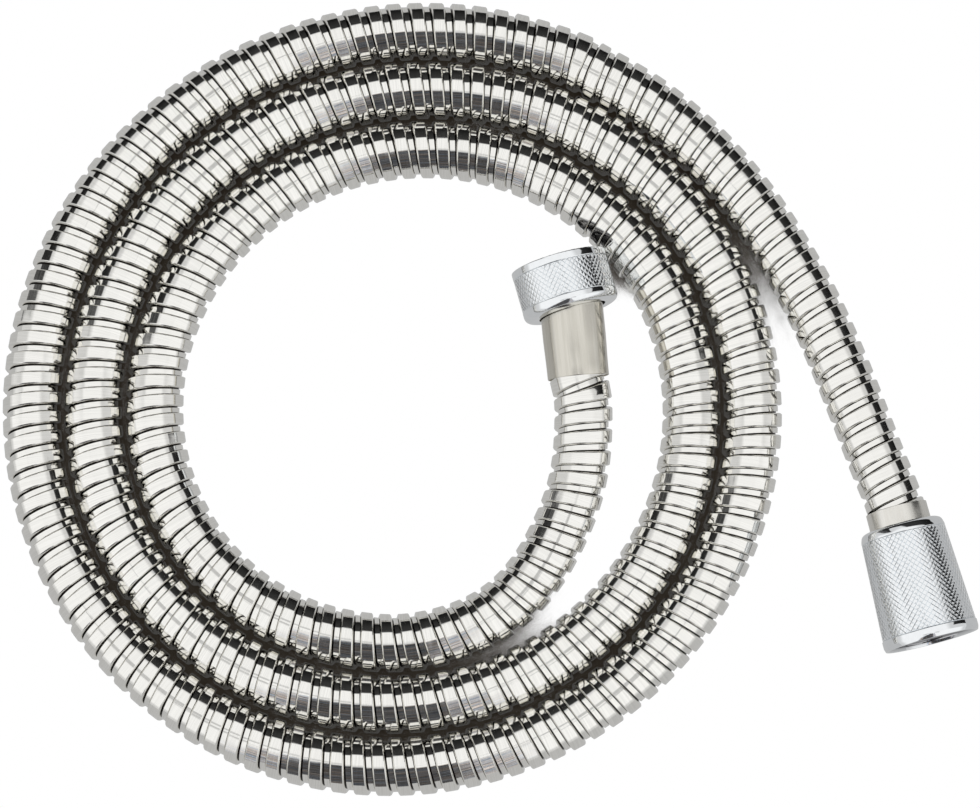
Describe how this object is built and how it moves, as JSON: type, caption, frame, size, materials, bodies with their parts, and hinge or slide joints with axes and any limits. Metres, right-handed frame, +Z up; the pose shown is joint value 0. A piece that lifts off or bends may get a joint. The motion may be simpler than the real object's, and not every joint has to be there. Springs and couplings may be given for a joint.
{
  "type": "shower hose",
  "caption": "Flexible metal shower hose lying in a flat spiral, with a knurled round union nut at its inner end and a knurled cone-shaped union nut at its outer end.",
  "frame": {"origin": "middle of the footprint's bounding rectangle, on the surface that the hose lies on", "axes": "+X along the longest extent, towards the cone nut; +Y across the spiral, away from the cone nut's mouth; +Z up"},
  "size_m": [0.2334, 0.1934, 0.0234],
  "materials": {
    "hose_steel": "bright polished stainless steel strip, slightly warm",
    "tube_rubber": "smooth black rubber tube",
    "nut_chrome": "bright chrome plate over a fine diamond knurl, cool white",
    "ferrule_nickel": "satin nickel sleeve, warm champagne grey",
    "stem_brass": "turned brass",
    "washer_rubber": "matt black sealing rubber"
  },
  "bodies": {
    "hose": {"outer_hose": "hose_steel", "inner_tube": "tube_rubber", "round_nut_ferrule": "ferrule_nickel", "round_nut_stem": "stem_brass", "cone_nut_ferrule": "ferrule_nickel", "cone_nut_stem": "stem_brass"},
    "round_nut_body": {"round_nut": "nut_chrome", "round_nut_washer": "washer_rubber"},
    "cone_nut_body": {"cone_nut": "nut_chrome", "cone_nut_washer": "washer_rubber"}
  },
  "joints": [
    {"name": "round_nut_spin", "type": "hinge", "parent": "hose", "child": "round_nut_body", "pos_m": [0.01889, 0.02509, 0.0117], "axis": [-0.2706, 0.9627, 0], "continuous": true},
    {"name": "cone_nut_spin", "type": "hinge", "parent": "hose", "child": "cone_nut_body", "pos_m": [0.1024, -0.04651, 0.0116], "axis": [0.247, -0.969, 0], "continuous": true}
  ]
}
